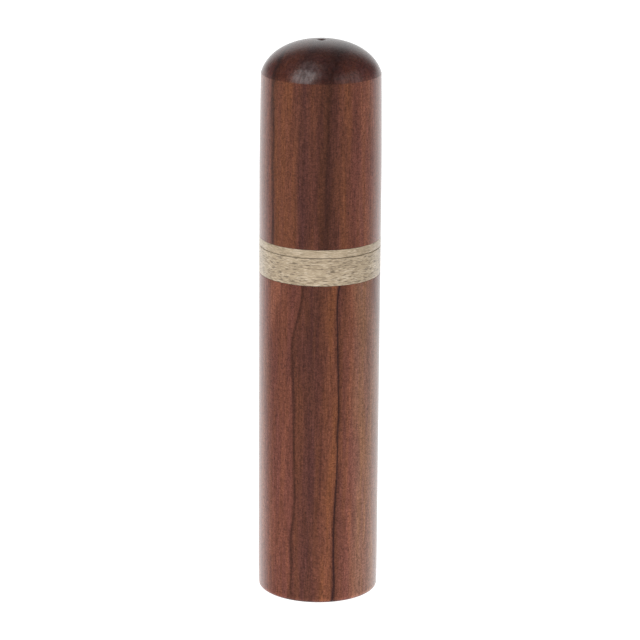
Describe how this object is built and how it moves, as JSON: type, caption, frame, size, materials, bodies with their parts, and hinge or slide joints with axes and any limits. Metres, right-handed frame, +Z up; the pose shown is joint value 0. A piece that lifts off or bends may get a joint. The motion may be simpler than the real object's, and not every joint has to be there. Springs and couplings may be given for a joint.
{
  "type": "dip pen case",
  "caption": "Turned wood pocket case with a pull-off domed cap, holding a short dip pen nib up.",
  "frame": {"origin": "centre of the base, on the surface that the case stands on", "axes": "+Z up the case's turning axis towards the domed cap, -Y towards the nib's rounded face"},
  "size_m": [0.026, 0.026, 0.1214],
  "materials": {
    "rosewood_body": "oiled satin",
    "rosewood_cap": "oiled satin",
    "rosewood_handle": "oiled satin",
    "pale_wood_collar": "waxed satin",
    "pale_wood_ring": "waxed satin",
    "pale_wood_tenon": "waxed satin",
    "cork": "matt cork",
    "tube_steel": "drawn steel",
    "clip_steel": "spring steel",
    "nib_steel": "polished steel"
  },
  "bodies": {
    "case": {"body_shell": "rosewood_body", "body_collar": "pale_wood_collar", "tenon_sleeve": "pale_wood_tenon", "rest_pad": "cork"},
    "cap": {"cap_shell": "rosewood_cap", "cap_ring": "pale_wood_ring"},
    "pen": {"pen_handle": "rosewood_handle", "ferrule_tube": "tube_steel", "nib_clip": "clip_steel", "nib": "nib_steel"}
  },
  "joints": [
    {"name": "cap_pull", "type": "slide", "parent": "case", "child": "cap", "axis": [0, 0, 1], "range_m": [0, 0.12]},
    {"name": "pen_lift", "type": "slide", "parent": "case", "child": "pen", "axis": [0, 0, 1], "range_m": [0, 0.08]}
  ],
  "couplings": [
    {"joint": "pen_lift", "follows": "cap_pull", "ratio": 0.66667}
  ]
}
